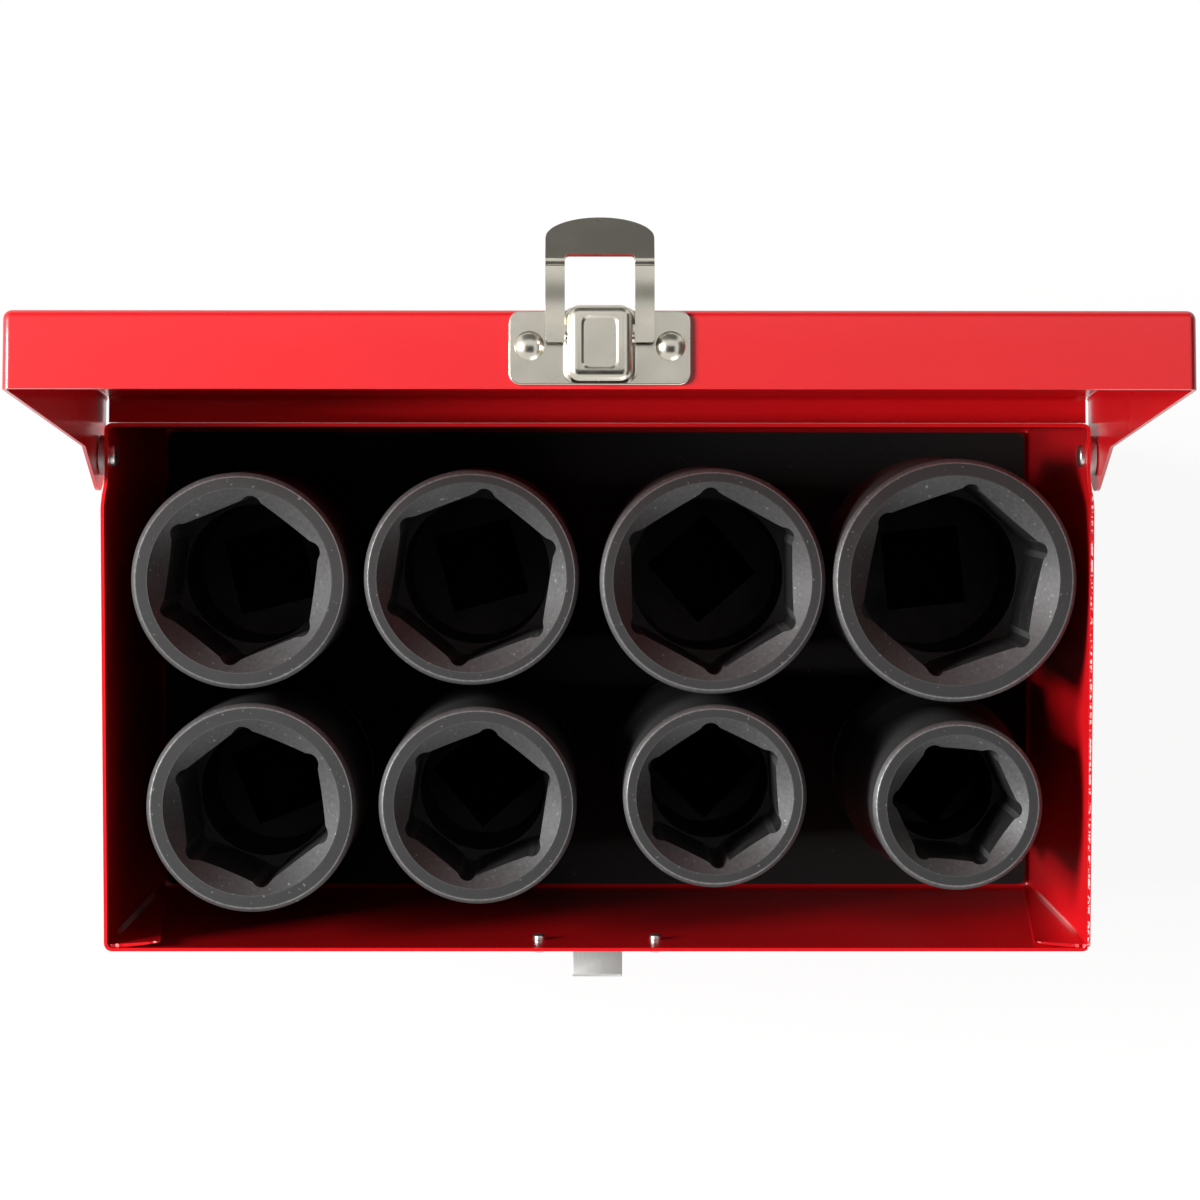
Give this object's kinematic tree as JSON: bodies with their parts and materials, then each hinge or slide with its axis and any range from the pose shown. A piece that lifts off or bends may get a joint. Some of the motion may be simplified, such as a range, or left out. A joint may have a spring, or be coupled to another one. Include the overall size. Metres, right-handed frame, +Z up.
{
  "type": "socket case",
  "caption": "Red steel box with a hinged lid held by a hasp latch, holding deep black impact sockets on a floor mat.",
  "frame": {"origin": "centre of the underside of the case body", "axes": "+X to the right along the case, +Y to the back where the lid is hinged, +Z up"},
  "size_m": [0.2318, 0.166, 0.207],
  "materials": {
    "red_enamel": "gloss red enamel on sheet steel",
    "nickel_plate": "bright nickel plate",
    "black_mat": "matt black foam rubber",
    "black_phosphate": "black phosphate on forged steel"
  },
  "bodies": {
    "case": {"case_body": "red_enamel", "floor_mat": "black_mat", "hinge_rivet_left": "nickel_plate", "hinge_rivet_right": "nickel_plate", "hinge_washer_left": "nickel_plate", "hinge_washer_right": "nickel_plate", "catch_plate": "nickel_plate", "catch_rivets": "nickel_plate"},
    "lid": {"lid_shell": "red_enamel", "latch_plate": "nickel_plate", "latch_rivets": "nickel_plate"},
    "loop": {"latch_loop": "nickel_plate"},
    "socket_back_1": {"socket_back_1": "black_phosphate"},
    "socket_back_2": {"socket_back_2": "black_phosphate"},
    "socket_back_3": {"socket_back_3": "black_phosphate"},
    "socket_back_4": {"socket_back_4": "black_phosphate"},
    "socket_front_1": {"socket_front_1": "black_phosphate"},
    "socket_front_2": {"socket_front_2": "black_phosphate"},
    "socket_front_3": {"socket_front_3": "black_phosphate"},
    "socket_front_4": {"socket_front_4": "black_phosphate"}
  },
  "joints": [
    {"name": "lid_hinge", "type": "hinge", "parent": "case", "child": "lid", "pos_m": [0, 0.05258, 0.0892], "axis": [-1, 0, 0], "range_deg": [-96.9, 0]},
    {"name": "latch_swing", "type": "hinge", "parent": "lid", "child": "loop", "pos_m": [0, 0.0757, 0.2037], "axis": [1, 0, 0], "range_deg": [0, 180]},
    {"name": "socket_back_1_lift", "type": "slide", "parent": "case", "child": "socket_back_1", "axis": [0, 0, 1], "range_m": [0, 0.11]},
    {"name": "socket_back_2_lift", "type": "slide", "parent": "case", "child": "socket_back_2", "axis": [0, 0, 1], "range_m": [0, 0.11]},
    {"name": "socket_back_3_lift", "type": "slide", "parent": "case", "child": "socket_back_3", "axis": [0, 0, 1], "range_m": [0, 0.11]},
    {"name": "socket_back_4_lift", "type": "slide", "parent": "case", "child": "socket_back_4", "axis": [0, 0, 1], "range_m": [0, 0.11]},
    {"name": "socket_front_1_lift", "type": "slide", "parent": "case", "child": "socket_front_1", "axis": [0, 0, 1], "range_m": [0, 0.11]},
    {"name": "socket_front_2_lift", "type": "slide", "parent": "case", "child": "socket_front_2", "axis": [0, 0, 1], "range_m": [0, 0.11]},
    {"name": "socket_front_3_lift", "type": "slide", "parent": "case", "child": "socket_front_3", "axis": [0, 0, 1], "range_m": [0, 0.11]},
    {"name": "socket_front_4_lift", "type": "slide", "parent": "case", "child": "socket_front_4", "axis": [0, 0, 1], "range_m": [0, 0.11]}
  ]
}
